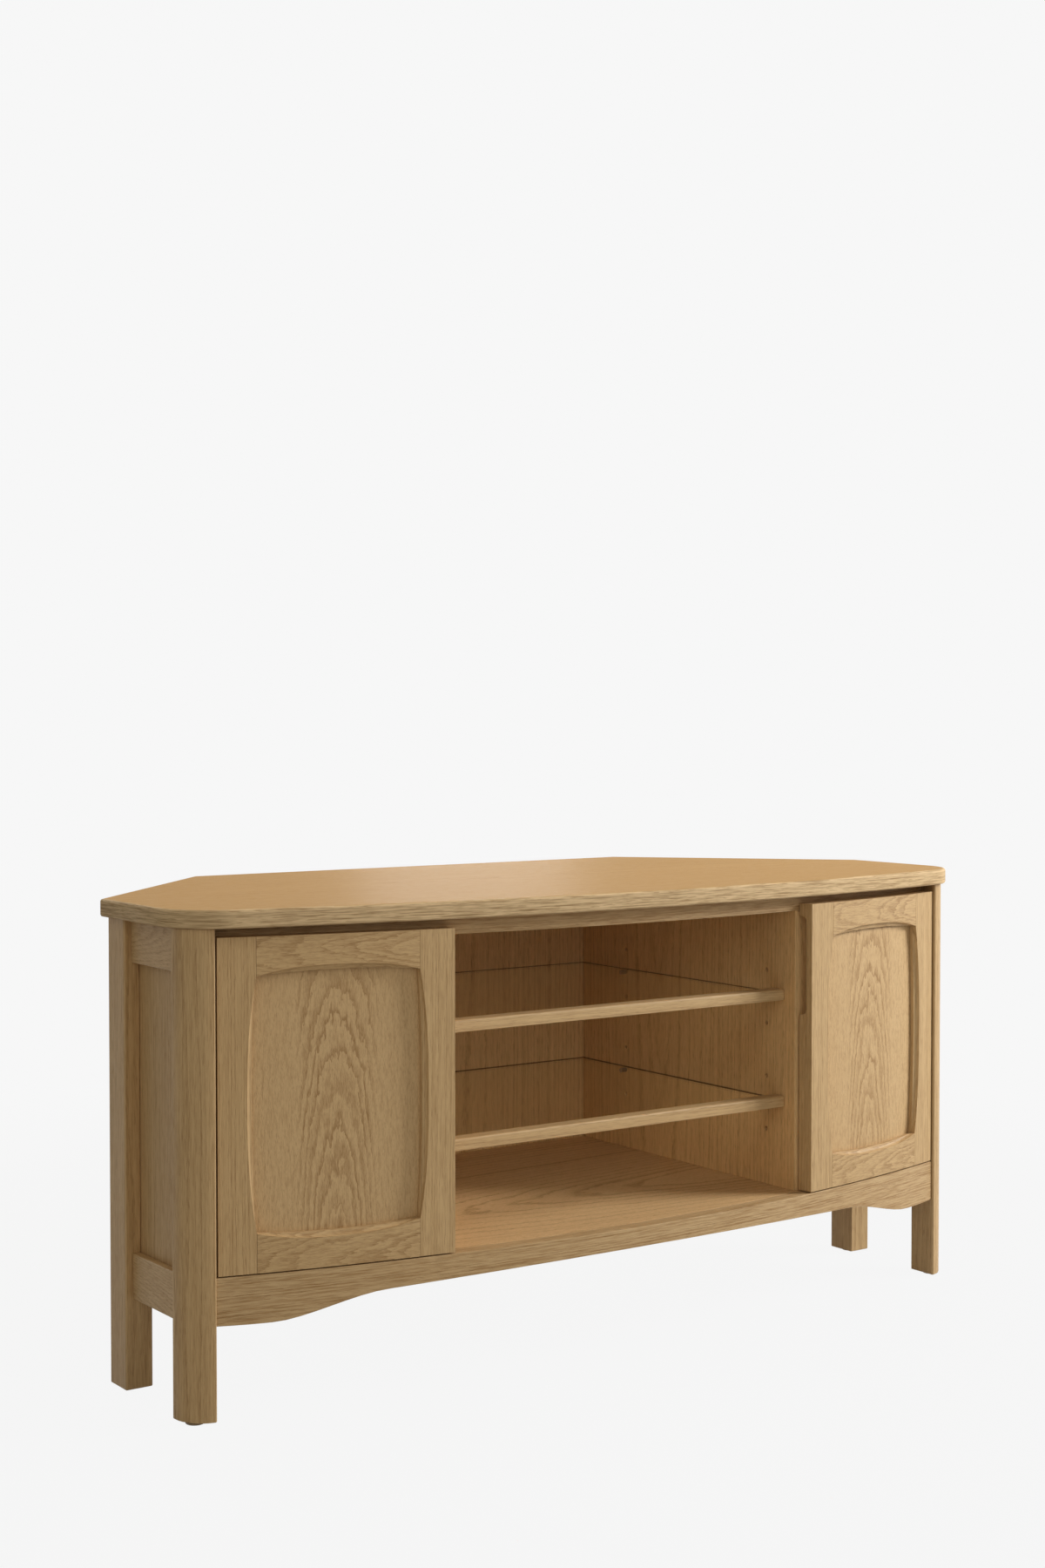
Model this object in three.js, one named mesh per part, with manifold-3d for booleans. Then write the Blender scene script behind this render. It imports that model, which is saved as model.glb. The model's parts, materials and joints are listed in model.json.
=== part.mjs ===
import * as THREE from 'three';
import { mergeVertices } from 'three/addons/utils/BufferGeometryUtils.js';
import Module from 'manifold-3d';

// Corner cabinet for a television: a bow-fronted oak carcass with cut back corners, an open centre
// with two glass shelves, and a bowed frame-and-panel door at each side.
// Millimetres. X runs along the front, Y towards the room corner, Z up.

const wasm = await Module();
wasm.setup();

// Overall size
const overallWidth = 1094;
const overallDepth = 493;
const overallHeight = 520;
const sideDepth = 255;
const backEdgeLength = 637;

// Clearances: seated faces, doors, and how far a cutting solid runs past what it cuts
const seatGap = 0.3;
const cutOverrun = 6;
const doorSideGap = 2.5;
const doorFootGap = 1.5;
const doorStopGap = 1;

// Top board
const topThickness = 19;
const topBowRadius = 2300;
const topFrontOverhang = 3.5;
const topSideOverhang = 9.5;
const topBackOverhang = 8;
const topCornerRadius = 66;
const topUpperRound = 3;
const topLowerRound = 2.5;

// Corner posts, which run down to the floor as legs
const postWidth = 31;
const postDepth = 39;
const postProud = 3.2;
const postSideFlat = 4.5;
const postEasing = 1.5;
const backPostInset = 8;
const glideRadius = 10;
const glideHeight = 2;
const glideBevel = 0.6;

// Side frames
const sideRailSetback = 8;
const sideRailThickness = 19;
const sideTopRailHeight = 46.5;
const sideBottomRailHeight = 48.5;
const sidePanelThickness = 6;
const sidePanelSetback = 18;
const grooveDepth = 7;
const tongueLength = 6.5;

// Front: doors and apron share one bow
const faceRadius = 1895;
const floorHeight = 147.5;
const floorThickness = 18;
const apronThickness = 19;
const apronMiddleHeight = 22.3;
const apronShoulderHeight = 28.6;
const apronLobeHeight = 50;
const apronEndHeight = 48.8;
const topRailHeight = 18.5;
const topRailThickness = 15;

// Places along half the apron where its lower edge starts, bends and ends its S curve
const apronCurveShares = [0.64, 0.724, 0.817, 0.889];

// Carcass inside
const partitionThickness = 18;
const cupboardWidth = 243.5;
const bayBackInset = 31.5;
const backPanelThickness = 6;
const backPanelSeatShare = 0.35;
const hingeBattenDepth = 40;

// Doors
const doorLap = 10.7;
const doorTopReveal = 10;
const doorThickness = 19;
const stileWidth = 40;
const doorRailHeight = 40.5;
const outlineBow = 9.5;
const wallBow = 4;
const coveDepth = 5;
const doorPanelFace = 9.7;
const doorPanelThickness = 5;
const doorGrooveDepth = 5;
const outlineBowPower = 2.6;
const wallBowPower = 2;
const hingeFromDoorEnd = 50;
const pullFromDoorTop = 14.6;
const pullLength = 118;
const pullDepth = 11;
const pullReach = 9;
const pullRound = 8;

// Concealed hinges
const cupRadius = 13;
const cupDepth = 11;
const cupWall = 1.5;
const cupFromDoorEdge = 17.4;
const flangeThickness = 1.2;
const flangeWidth = 18;
const flangeHeight = 46;
const leverWidth = 12;
const leverThickness = 7;
const armWidth = 12;
const armThickness = 8;
const armCrank = 16;
const noseInset = 9.5;
const plateThickness = 3;
const plateLength = 36;
const plateHeight = 42;
const plateRound = 6;

// Shelves and their pins
const pinPitch = 32;
const lowerPinHeight = 247;
const shelfStepHoles = 4;
const pinShankRadius = 2.5;
const pinHeadRadius = 3;
const pinShankLength = 8;
const pinHeadLength = 9;
const pinHoleClearance = 0.3;
const pinFrontY = 89;
const pinRearInset = 93;
const glassThickness = 5;
const glassSideGap = 1.3;
const lipFrontY = 56;
const lipDepth = 18;
const lipHeight = 13.3;
const lipBelowGlass = 4.3;
const lipRound = 2.5;
const lipGroove = 8;
const lipEndGap = 0.8;

// Facets
const bowSegments = 28;
const doorBowSegments = 8;
const cornerSegments = 8;
const easingSegments = 2;
const edgeSegments = 4;
const curveSegments = 8;
const sideSegments = 12;
const coveSegments = 4;
const roundSegments = 18;
const smallRoundSegments = 8;

// Places worked out from the sizes above. Y is zero on the door faces at the middle of the front.
const halfWidth = overallWidth / 2;
const underTop = overallHeight - topThickness;
const topRearY = overallDepth - topFrontOverhang;
const sideEndY = sideDepth - topFrontOverhang;
const cutSlope = (topRearY - sideEndY) / (halfWidth - backEdgeLength / 2);
const postFoot = glideHeight + seatGap;
const postOuterX = halfWidth - topSideOverhang;
const postInnerX = postOuterX - postWidth;
const frontPostY = bowY(postInnerX, 0) - postProud;
const sidePostY = sideEndY + topSideOverhang * cutSlope - topBackOverhang - postDepth;
const bayHalfWidth = postInnerX - cupboardWidth - partitionThickness;
const bayBackY = topRearY - bayBackInset;
const partitionOuterX = bayHalfWidth + partitionThickness;
const doorInnerX = partitionOuterX - doorLap;
const pinRearY = bayBackY - pinRearInset;
const backPostX = partitionOuterX + seatGap;
const backPostY = topRearY - backPostInset - postDepth;
const doorFoot = floorHeight + doorFootGap;
const doorHead = underTop - doorTopReveal;
const sideRailOuterX = postOuterX - sideRailSetback;
const sideRailInnerX = sideRailOuterX - sideRailThickness;
const stopDepth = doorThickness + doorStopGap;
const railBottom = underTop - topRailHeight;
const partitionFrontY = bowY(partitionOuterX, stopDepth);
const sideTopRailFoot = underTop - sideTopRailHeight;
const sideBottomRailFoot = floorHeight - sideBottomRailHeight;
const panelFoot = floorHeight - floorThickness;

// Depth of a bowed face, or of one set back behind it, at a distance along the front
function bowY(x, setback) {
  const radius = faceRadius - setback;
  return faceRadius - Math.sqrt(radius * radius - x * x);
}

// Distance measured along the bow of the faces
function alongBow(x) {
  return faceRadius * Math.asin(x / faceRadius);
}

// A point given along the bow, in height and in depth behind the face
function onBow(along, height, depth) {
  const angle = along / faceRadius;
  const radius = faceRadius - depth;
  return new THREE.Vector3(radius * Math.sin(angle), faceRadius - radius * Math.cos(angle), height);
}

// Solids for joining and cutting
function toSolid(geometry) {
  const bare = geometry.clone();
  bare.deleteAttribute('normal');
  bare.deleteAttribute('uv');
  const merged = mergeVertices(bare);
  return new wasm.Manifold(new wasm.Mesh({
    numProp: 3,
    vertProperties: merged.attributes.position.array,
    triVerts: new Uint32Array(merged.index.array),
  }));
}

function fromSolid(solid) {
  const mesh = solid.getMesh();
  const geometry = new THREE.BufferGeometry();
  geometry.setAttribute('position', new THREE.BufferAttribute(mesh.vertProperties, 3));
  geometry.setIndex(new THREE.BufferAttribute(mesh.triVerts, 1));
  return geometry;
}

function cut(geometry, ...cutters) {
  const left = cutters.reduce((solid, cutter) => solid.subtract(toSolid(cutter)), toSolid(geometry));
  return fromSolid(left);
}

function join(geometry, ...others) {
  return fromSolid(others.reduce((solid, other) => solid.add(toSolid(other)), toSolid(geometry)));
}

function common(geometry, other) {
  return fromSolid(toSolid(geometry).intersect(toSolid(other)));
}

// An outline in plan, raised from one height to another
function raise(shape, foot, head) {
  const settings = { depth: head - foot, bevelEnabled: false, curveSegments };
  return new THREE.ExtrudeGeometry(shape, settings).translate(0, 0, foot);
}

// An outline in Y and Z, run along X
function runAlongX(shape, start, end) {
  const turn = new THREE.Matrix4().makeBasis(
    new THREE.Vector3(0, 1, 0), new THREE.Vector3(0, 0, 1), new THREE.Vector3(1, 0, 0));
  return raise(shape, 0, end - start).applyMatrix4(turn).translate(start, 0, 0);
}

// An outline in X and Z, run along Y
function runAlongY(shape, start, end) {
  const turn = new THREE.Matrix4().makeRotationX(Math.PI / 2);
  return raise(shape, 0, end - start).applyMatrix4(turn).translate(0, end, 0);
}

function block(x0, x1, y0, y1, z0, z1) {
  const geometry = new THREE.BoxGeometry(x1 - x0, y1 - y0, z1 - z0);
  return geometry.translate((x0 + x1) / 2, (y0 + y1) / 2, (z0 + z1) / 2);
}

function polygon(points) {
  return new THREE.Shape(points.map(([x, y]) => new THREE.Vector2(x, y)));
}

// Points along an arc, from its start to its end
function arc(x, y, radius, start, end, steps) {
  const curve = new THREE.EllipseCurve(x, y, radius, radius, start, end, end < start);
  return curve.getPoints(steps).map((point) => point.toArray());
}

// Turns every face of a body over
function turnedOver(geometry) {
  const index = geometry.index.array;
  for (let i = 0; i < index.length; i += 3) {
    [index[i], index[i + 1]] = [index[i + 1], index[i]];
  }
  return geometry;
}

// The mirror image across the middle of the cabinet, with its faces still pointing out
function mirrored(geometry) {
  const image = mergeVertices(geometry.clone().deleteAttribute('normal').deleteAttribute('uv'));
  return turnedOver(image.scale(-1, 1, 1));
}

// Volume of a closed body, negative where its faces point in
function signedVolume(geometry) {
  const { position } = geometry.attributes;
  const corner = (i) => new THREE.Vector3().fromBufferAttribute(position, geometry.index.getX(i));
  let volume = 0;
  for (let i = 0; i < geometry.index.count; i += 3) {
    volume += corner(i).dot(corner(i + 1).cross(corner(i + 2))) / 6;
  }
  return volume;
}

// A closed body through rings of points that match one to one, with a cap at each end
function loft(rings, flatten) {
  const clockwise = THREE.ShapeUtils.isClockWise(rings[0].map(flatten));
  const ordered = clockwise ? rings.map((ring) => [...ring].reverse()) : rings;
  const count = ordered[0].length;
  const last = (ordered.length - 1) * count;
  const index = [];
  for (let start = 0; start < last; start += count) {
    for (let i = 0; i < count; i += 1) {
      const next = (i + 1) % count;
      index.push(start + i, start + next, start + count + next);
      index.push(start + i, start + count + next, start + count + i);
    }
  }
  for (const [a, b, c] of THREE.ShapeUtils.triangulateShape(ordered[0].map(flatten), [])) {
    index.push(a, c, b);
    index.push(last + a, last + b, last + c);
  }
  const geometry = new THREE.BufferGeometry();
  geometry.setAttribute('position',
    new THREE.Float32BufferAttribute(ordered.flat().flatMap((point) => point.toArray()), 3));
  geometry.setIndex(index);
  return signedVolume(geometry) < 0 ? turnedOver(geometry) : geometry;
}

// Points along the bow at a depth behind the faces, between two angles from its middle
function bowArc(depth, start, end, steps) {
  const quarter = Math.PI / 2;
  return arc(0, faceRadius, faceRadius - depth, start - quarter, end - quarter, steps);
}

// A band in plan between two faces of the bow, with ends square to the front
function bowBand(frontDepth, backDepth, endX) {
  const frontAngle = Math.asin(endX / (faceRadius - frontDepth));
  const backAngle = Math.asin(endX / (faceRadius - backDepth));
  return polygon([
    ...bowArc(frontDepth, -frontAngle, frontAngle, bowSegments),
    ...bowArc(backDepth, backAngle, -backAngle, bowSegments),
  ]);
}

// A member of a door: a band between two places along the bow, with ends square to the bow
function doorBand(startAlong, endAlong, frontDepth, backDepth, steps) {
  const start = startAlong / faceRadius;
  const end = endAlong / faceRadius;
  return polygon([
    ...bowArc(frontDepth, start, end, steps),
    ...bowArc(backDepth, end, start, steps),
  ]);
}

// A rectangle with rounded corners, by its middle
function roundedRectangle(width, height, radius) {
  const x = width / 2 - radius;
  const y = height / 2 - radius;
  const quarter = Math.PI / 2;
  return polygon([[x, y], [-x, y], [-x, -y], [x, -y]].flatMap(([centreX, centreY], turn) =>
    arc(centreX, centreY, radius, turn * quarter, (turn + 1) * quarter, edgeSegments)));
}

// Materials
function finish(color, roughness, metalness = 0) {
  return new THREE.MeshStandardMaterial({ color, roughness, metalness });
}
const oak = 0xc49a66;
const oakDark = 0xa87f50;
const steel = 0xb9bbbd;

const carcass = new THREE.Group();

function addPiece(name, geometry, material) {
  const mesh = new THREE.Mesh(geometry, material);
  mesh.name = name;
  carcass.add(mesh);
}

// The same piece on both sides of the cabinet
function addPair(name, geometry, makeMaterial) {
  addPiece(`right_${name}`, geometry, makeMaterial());
  addPiece(`left_${name}`, mirrored(geometry), makeMaterial());
}

const oakFinish = () => finish(oak, 0.55);

// Top board: outline in plan
function topOutline() {
  const frontCentre = topBowRadius - topFrontOverhang;
  const cornerX = halfWidth - topCornerRadius;
  const reach = topBowRadius - topCornerRadius;
  const cornerY = frontCentre - Math.sqrt(reach * reach - cornerX * cornerX);
  const meetAngle = Math.atan2(cornerY - frontCentre, cornerX);
  const farAngle = Math.PI - meetAngle;
  const points = [
    ...arc(0, frontCentre, topBowRadius, farAngle, 2 * Math.PI + meetAngle, bowSegments),
    ...arc(cornerX, cornerY, topCornerRadius, meetAngle, 0, cornerSegments),
    [halfWidth, sideEndY],
    [backEdgeLength / 2, topRearY],
    [-backEdgeLength / 2, topRearY],
    [-halfWidth, sideEndY],
    ...arc(-cornerX, cornerY, topCornerRadius, Math.PI, farAngle, cornerSegments),
  ].map(([x, y]) => new THREE.Vector2(x, y));
  return points.filter((point, i) => point.distanceTo(points[(i + 1) % points.length]) > seatGap);
}

// The outline drawn in by the same distance all round
function drawnIn(outline, distance) {
  return outline.map((point, i) => {
    const before = outline[(i + outline.length - 1) % outline.length];
    const after = outline[(i + 1) % outline.length];
    const comingIn = point.clone().sub(before).normalize();
    const goingOut = after.clone().sub(point).normalize();
    const inward = new THREE.Vector2(-comingIn.y - goingOut.y, comingIn.x + goingOut.x);
    const mitre = 2 * distance / inward.lengthSq();
    return point.clone().addScaledVector(inward, mitre);
  });
}

// Top board: both edges rounded all round, the upper one more
function topBoard() {
  const outline = topOutline();
  const rings = [];
  for (let i = 0; i <= easingSegments; i += 1) {
    const angle = Math.PI / 2 * i / easingSegments;
    const height = underTop + topLowerRound * (1 - Math.cos(angle));
    rings.push([height, topLowerRound * (1 - Math.sin(angle))]);
  }
  for (let i = 0; i <= edgeSegments; i += 1) {
    const angle = Math.PI / 2 * i / edgeSegments;
    const height = overallHeight - topUpperRound * (1 - Math.sin(angle));
    rings.push([height, topUpperRound * (1 - Math.cos(angle))]);
  }
  return loft(rings.map(([height, inset]) =>
    drawnIn(outline, inset).map((point) => new THREE.Vector3(point.x, point.y, height))),
  (point) => new THREE.Vector2(point.x, point.y));
}
addPiece('top_board', topBoard(), oakFinish());

// Posts, with their arrises eased. Corners run from the outer front one to the inner front one.
function easedCorners(x, y, first, last) {
  const corners = [
    [x + postWidth - postEasing, y + postEasing],
    [x + postWidth - postEasing, y + postDepth - postEasing],
    [x + postEasing, y + postDepth - postEasing],
    [x + postEasing, y + postEasing],
  ];
  return corners.flatMap(([centreX, centreY], turn) => {
    const start = (turn - 1) * Math.PI / 2;
    return arc(centreX, centreY, postEasing, start, start + Math.PI / 2, easingSegments);
  }).slice(first * (easingSegments + 1), last * (easingSegments + 1));
}

function squarePost(x, y) {
  return polygon(easedCorners(x, y, 0, 4));
}

// The front post is one large round, from a short flat on its side to the edge beside the door,
// where it runs on the way the doors bow
function roundPost() {
  const roundDepth = postDepth - postSideFlat;
  const radius = (roundDepth * roundDepth + postWidth * postWidth) / (2 * postWidth);
  const roundX = postOuterX - radius;
  const roundY = frontPostY + roundDepth;
  const easingX = postInnerX + postEasing;
  const meetAngle = -Math.acos((easingX - roundX) / (radius - postEasing));
  const easingY = roundY + (radius - postEasing) * Math.sin(meetAngle);
  return polygon([
    ...arc(easingX, easingY, postEasing, Math.PI, 2 * Math.PI + meetAngle, easingSegments),
    ...arc(roundX, roundY, radius, meetAngle, 0, cornerSegments).slice(1),
    ...easedCorners(postInnerX, frontPostY, 1, 3),
  ]);
}

const panelOuterX = postOuterX - sidePanelSetback;
const panelInnerX = panelOuterX - sidePanelThickness;
const sideGrooveFoot = floorHeight - grooveDepth;
const sideGrooveHead = sideTopRailFoot + grooveDepth;

function sideGroove(y0, y1) {
  return block(panelInnerX - seatGap, panelOuterX + seatGap, y0, y1, sideGrooveFoot, sideGrooveHead);
}

const postTop = underTop - seatGap;
const frontPostRearY = frontPostY + postDepth;
addPair('front_post', cut(
  raise(roundPost(), postFoot, postTop),
  sideGroove(frontPostRearY - grooveDepth, frontPostRearY + cutOverrun)), oakFinish);
addPair('side_post', cut(
  raise(squarePost(postInnerX, sidePostY), postFoot, postTop),
  sideGroove(sidePostY - cutOverrun, sidePostY + grooveDepth)), oakFinish);
addPair('back_post', raise(squarePost(backPostX, backPostY), postFoot, postTop), oakFinish);

// A low plastic glide under each leg
function glide(x, y) {
  const profile = [[0, 0], [glideRadius - glideBevel, 0], [glideRadius, glideBevel],
    [glideRadius, glideHeight], [0, glideHeight]].map(([r, h]) => new THREE.Vector2(r, h));
  return new THREE.LatheGeometry(profile, roundSegments).rotateX(Math.PI / 2)
    .translate(x + postWidth / 2, y + postDepth / 2, 0);
}
const plastic = () => finish(0x2b2622, 0.5);
addPair('front_glide', glide(postInnerX, frontPostY), plastic);
addPair('side_glide', glide(postInnerX, sidePostY), plastic);
addPair('back_glide', glide(backPostX, backPostY), plastic);

// Side frame: two rails and a thin panel held in grooves
const sideRailStart = frontPostRearY + seatGap;
const sideRailEnd = sidePostY - seatGap;

function sideRail(foot, head, grooveFoot, grooveHead) {
  return cut(block(sideRailInnerX, sideRailOuterX, sideRailStart, sideRailEnd, foot, head),
    block(panelInnerX - seatGap, panelOuterX + seatGap, sideRailStart - cutOverrun,
      sideRailEnd + cutOverrun, grooveFoot, grooveHead));
}
addPair('side_top_rail', sideRail(sideTopRailFoot, postTop,
  sideTopRailFoot - cutOverrun, sideGrooveHead), oakFinish);
addPair('side_bottom_rail', sideRail(sideBottomRailFoot, floorHeight,
  sideGrooveFoot, floorHeight + cutOverrun), oakFinish);
addPair('side_panel', block(panelInnerX, panelOuterX, frontPostRearY - tongueLength,
  sidePostY + tongueLength, floorHeight - tongueLength, sideTopRailFoot + tongueLength), oakFinish);

// Apron: a bowed board whose lower edge hangs lower towards the posts
const apronEndX = postInnerX - seatGap;

function apronOutline() {
  const [bend, bendHandle, lobeHandle, lobe] = apronCurveShares.map((share) => share * apronEndX);
  const middle = floorHeight - apronMiddleHeight;
  const shoulder = floorHeight - apronShoulderHeight;
  const lowest = floorHeight - apronLobeHeight;
  const end = floorHeight - apronEndHeight;
  const past = apronEndX + cutOverrun;
  const shoulderHandle = shoulder - (middle - shoulder) * (bendHandle - bend) / bend;
  const lobeEndHandle = (lobe + apronEndX) / 2;
  const shape = new THREE.Shape();
  shape.moveTo(past, floorHeight + cutOverrun);
  shape.lineTo(-past, floorHeight + cutOverrun);
  shape.lineTo(-past, end);
  shape.lineTo(-apronEndX, end);
  shape.quadraticCurveTo(-lobeEndHandle, lowest, -lobe, lowest);
  shape.bezierCurveTo(-lobeHandle, lowest, -bendHandle, shoulderHandle, -bend, shoulder);
  shape.quadraticCurveTo(0, 2 * middle - shoulder, bend, shoulder);
  shape.bezierCurveTo(bendHandle, shoulderHandle, lobeHandle, lowest, lobe, lowest);
  shape.quadraticCurveTo(lobeEndHandle, lowest, apronEndX, end);
  shape.lineTo(past, end);
  return shape;
}
const apronBlank = raise(bowBand(0, apronThickness, apronEndX),
  floorHeight - apronLobeHeight - cutOverrun, floorHeight);
const apronEndY = bowY(apronEndX, apronThickness);
addPiece('front_apron', common(apronBlank,
  runAlongY(apronOutline(), -cutOverrun, apronEndY + cutOverrun)), oakFinish());

// Rail under the top board, set back so that the doors close in front of it
addPiece('front_top_rail', raise(bowBand(stopDepth, stopDepth + topRailThickness, apronEndX),
  railBottom, postTop), finish(oakDark, 0.6));

// Back panels: one square to the sides behind the bay, one across each cut corner
const backPostOuterX = backPostX + postWidth + seatGap;
const sidePostRearY = sidePostY + postDepth + seatGap;
const cornerSeatX = postInnerX + postWidth * backPanelSeatShare;
const cornerSeatY = backPostY + postDepth * (1 - backPanelSeatShare / 2);
const cornerSlope = (cornerSeatY - sidePostRearY) / (backPostOuterX - cornerSeatX);
const cornerWall = backPanelThickness * Math.sqrt(1 + cornerSlope * cornerSlope);

// Height in plan of a line along the corner panel, set in from its outer face
function cornerLineY(x, setIn) {
  return cornerSeatY + cornerSlope * (x - backPostOuterX) - setIn;
}

function cornerLineX(y, setIn) {
  return backPostOuterX + (y + setIn - cornerSeatY) / cornerSlope;
}
addPair('back_panel', raise(polygon([
  [cornerLineX(sidePostRearY, 0), sidePostRearY],
  [backPostOuterX, cornerLineY(backPostOuterX, 0)],
  [backPostOuterX, cornerLineY(backPostOuterX, cornerWall)],
  [cornerLineX(sidePostRearY, cornerWall), sidePostRearY],
]), panelFoot, postTop), () => finish(oakDark, 0.65));
addPiece('centre_back_panel', block(-partitionOuterX, partitionOuterX, bayBackY + seatGap,
  bayBackY + seatGap + backPanelThickness, panelFoot, postTop), finish(oakDark, 0.65));

// Floor of the bay and of both cupboards, fitted round the posts
function floorPanel() {
  const inner = cornerWall + seatGap * Math.sqrt(1 + cornerSlope * cornerSlope);
  const frontDepth = apronThickness + seatGap;
  const frontAngle = Math.asin(apronEndX / (faceRadius - frontDepth));
  const clearX = sideRailInnerX - seatGap;
  const half = [
    [apronEndX, frontPostRearY + seatGap],
    [clearX, frontPostRearY + seatGap],
    [clearX, sidePostY - seatGap],
    [apronEndX, sidePostY - seatGap],
    [apronEndX, cornerLineY(apronEndX, inner)],
    [cornerLineX(backPostY - seatGap, inner), backPostY - seatGap],
    [partitionOuterX, backPostY - seatGap],
    [partitionOuterX, bayBackY],
  ];
  const otherHalf = half.map(([x, y]) => [-x, y]).reverse();
  const front = bowArc(frontDepth, -frontAngle, frontAngle, bowSegments);
  return raise(polygon([...front, ...half, ...otherHalf]), panelFoot, floorHeight);
}
addPiece('floor_panel', floorPanel(), oakFinish());

// Shelf pins sit in columns of holes, three holes to a shelf
const upperPinHeight = lowerPinHeight + shelfStepHoles * pinPitch;
const shelves = [['upper', upperPinHeight], ['lower', lowerPinHeight]];
const pinColumns = [['front', pinFrontY], ['rear', pinRearY]];

function acrossHole(radius, start, end) {
  return new THREE.CylinderGeometry(radius, radius, end - start, smallRoundSegments)
    .rotateZ(Math.PI / 2).translate((start + end) / 2, 0, 0);
}

// Partition between the bay and a cupboard, notched over the top rail
function partition() {
  const foot = floorHeight + seatGap;
  const notchY = bowY(partitionOuterX, stopDepth + topRailThickness) + seatGap;
  const notchZ = railBottom - seatGap;
  const board = runAlongX(polygon([
    [partitionFrontY, foot], [bayBackY, foot], [bayBackY, postTop],
    [notchY, postTop], [notchY, notchZ], [partitionFrontY, notchZ],
  ]), bayHalfWidth, partitionOuterX);
  const holes = [];
  for (const [, height] of shelves) {
    for (const [, y] of pinColumns) {
      for (const step of [-1, 0, 1]) {
        holes.push(acrossHole(pinShankRadius + pinHoleClearance, bayHalfWidth - cutOverrun,
          bayHalfWidth + pinShankLength + pinHoleClearance).translate(0, y, height + step * pinPitch));
      }
    }
  }
  return cut(board, ...holes);
}
addPair('partition', partition(), () => finish(oakDark, 0.6));

function shelfPin(y, height) {
  const headEnd = bayHalfWidth - seatGap - pinHeadLength;
  return join(acrossHole(pinShankRadius, headEnd + pinHeadLength / 2, bayHalfWidth + pinShankLength),
    acrossHole(pinHeadRadius, headEnd, bayHalfWidth - seatGap)).translate(0, y, height);
}

// A glass shelf whose front edge sits in a grooved oak lip
function shelfLip(glassFoot) {
  const foot = glassFoot - lipBelowGlass;
  const head = foot + lipHeight;
  const backY = lipFrontY + lipDepth;
  const grooveY = backY - lipGroove;
  const half = bayHalfWidth - lipEndGap;
  return runAlongX(polygon([
    [lipFrontY, foot],
    [backY, foot],
    [backY, glassFoot - seatGap],
    [grooveY, glassFoot - seatGap],
    [grooveY, glassFoot + glassThickness + seatGap],
    [backY, glassFoot + glassThickness + seatGap],
    [backY, head],
    ...arc(lipFrontY + lipRound, head - lipRound, lipRound, Math.PI / 2, Math.PI, edgeSegments),
  ]), -half, half);
}

for (const [name, height] of shelves) {
  const glassFoot = height + pinHeadRadius + seatGap;
  const glassFront = lipFrontY + lipDepth - lipGroove + seatGap;
  const glassHalf = bayHalfWidth - glassSideGap;
  addPiece(`${name}_shelf_glass`, block(-glassHalf, glassHalf, glassFront, bayBackY - glassSideGap,
    glassFoot, glassFoot + glassThickness), finish(0x6b5a44, 0.05));
  addPiece(`${name}_shelf_lip`, shelfLip(glassFoot), oakFinish());
  for (const [column, y] of pinColumns) {
    addPair(`${name}_${column}_shelf_pin`, shelfPin(y, height), () => finish(steel, 0.3, 1));
  }
}

// Doors. The opening in the frame swells on all four sides: its line on the face swells more than
// the wall behind it, and a cove joins the two, so that the cove dies away into the corners.
const innerStart = alongBow(doorInnerX);
const outerEnd = alongBow(postInnerX - doorSideGap);
const openingStart = innerStart + stileWidth;
const openingEnd = outerEnd - stileWidth;
const openingFoot = doorFoot + doorRailHeight;
const openingHead = doorHead - doorRailHeight;

function swell(size, power, share) {
  return size * (1 - Math.abs(2 * share - 1) ** power);
}

// One ring of the opening at a depth, pushed out on all sides by a margin
function openingRing(depth, coveShare, margin) {
  const width = openingEnd - openingStart + 2 * margin;
  const height = openingHead - openingFoot + 2 * margin;
  const left = openingStart - margin;
  const foot = openingFoot - margin;
  const ring = [];
  for (let side = 0; side < 4; side += 1) {
    for (let i = 0; i < sideSegments; i += 1) {
      const share = i / sideSegments;
      const wall = swell(wallBow, wallBowPower, share);
      const out = wall + coveShare * (swell(outlineBow, outlineBowPower, share) - wall);
      const [along, up] = [
        [left + share * width, foot - out],
        [left + width + out, foot + share * height],
        [left + width - share * width, foot + height + out],
        [left - out, foot + height - share * height],
      ][side];
      ring.push(onBow(along, up, depth));
    }
  }
  return ring;
}

const faceOn = (point) => new THREE.Vector2(point.x, point.z);

function doorOpening() {
  const rings = [openingRing(-cutOverrun, 1, 0)];
  for (let i = 0; i <= coveSegments; i += 1) {
    const angle = Math.PI / 2 * i / coveSegments;
    rings.push(openingRing(coveDepth * Math.sin(angle), Math.cos(angle), 0));
  }
  rings.push(openingRing(doorThickness + cutOverrun, 0, 0));
  return loft(rings, faceOn);
}

function doorLayer(front, back, margin) {
  return loft([openingRing(front, 0, margin), openingRing(back, 0, margin)], faceOn);
}
const opening = doorOpening();
const panelGroove = common(
  raise(doorBand(innerStart, outerEnd, doorPanelFace - seatGap,
    doorPanelFace + doorPanelThickness + seatGap, doorBowSegments), doorFoot, doorHead),
  doorLayer(-cutOverrun, doorThickness + cutOverrun, doorGrooveDepth));

// Turns a piece from the hinge's own place to its place in the door: X along the bow, Y into the
// door, both from the middle of the cup's mouth
function atCup(geometry, height) {
  const along = outerEnd - cupFromDoorEdge;
  const place = onBow(along, height, doorThickness);
  return geometry.rotateZ(along / faceRadius).translate(place.x, place.y, place.z);
}

function cupBore(height) {
  const length = cupDepth + seatGap + cutOverrun;
  return atCup(new THREE.CylinderGeometry(cupRadius + seatGap, cupRadius + seatGap, length, roundSegments)
    .translate(0, length / 2 - cupDepth - seatGap, 0), height);
}

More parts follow.
